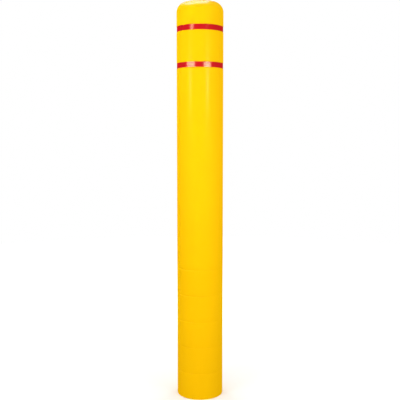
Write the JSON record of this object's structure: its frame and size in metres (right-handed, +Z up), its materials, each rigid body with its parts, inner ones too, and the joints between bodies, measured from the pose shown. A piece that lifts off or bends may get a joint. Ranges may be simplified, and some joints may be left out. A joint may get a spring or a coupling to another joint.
{
  "type": "bollard cover sleeve",
  "caption": "Straight tubular post cover with a domed top, red reflective bands in recesses near the top and trim grooves near its open bottom; it slides over a steel bollard.",
  "frame": {"origin": "centre of the bottom rim, on the ground", "axes": "+Z up along the sleeve's axis, -Y towards the front, +Y towards the lap of the tapes"},
  "size_m": [0.1778, 0.1774, 1.524],
  "materials": {
    "sleeve_plastic": "satin yellow moulded polyethylene",
    "reflective_tape": "glossy red reflective tape",
    "foam": "dark grey closed-cell foam with an adhesive back"
  },
  "bodies": {
    "root": {"sleeve_shell": "sleeve_plastic", "upper_reflective_band": "reflective_tape", "lower_reflective_band": "reflective_tape", "upper_foam_strip_1": "foam", "upper_foam_strip_2": "foam", "upper_foam_strip_3": "foam", "upper_foam_strip_4": "foam", "lower_foam_strip_1": "foam", "lower_foam_strip_2": "foam", "lower_foam_strip_3": "foam", "lower_foam_strip_4": "foam"}
  },
  "joints": []
}
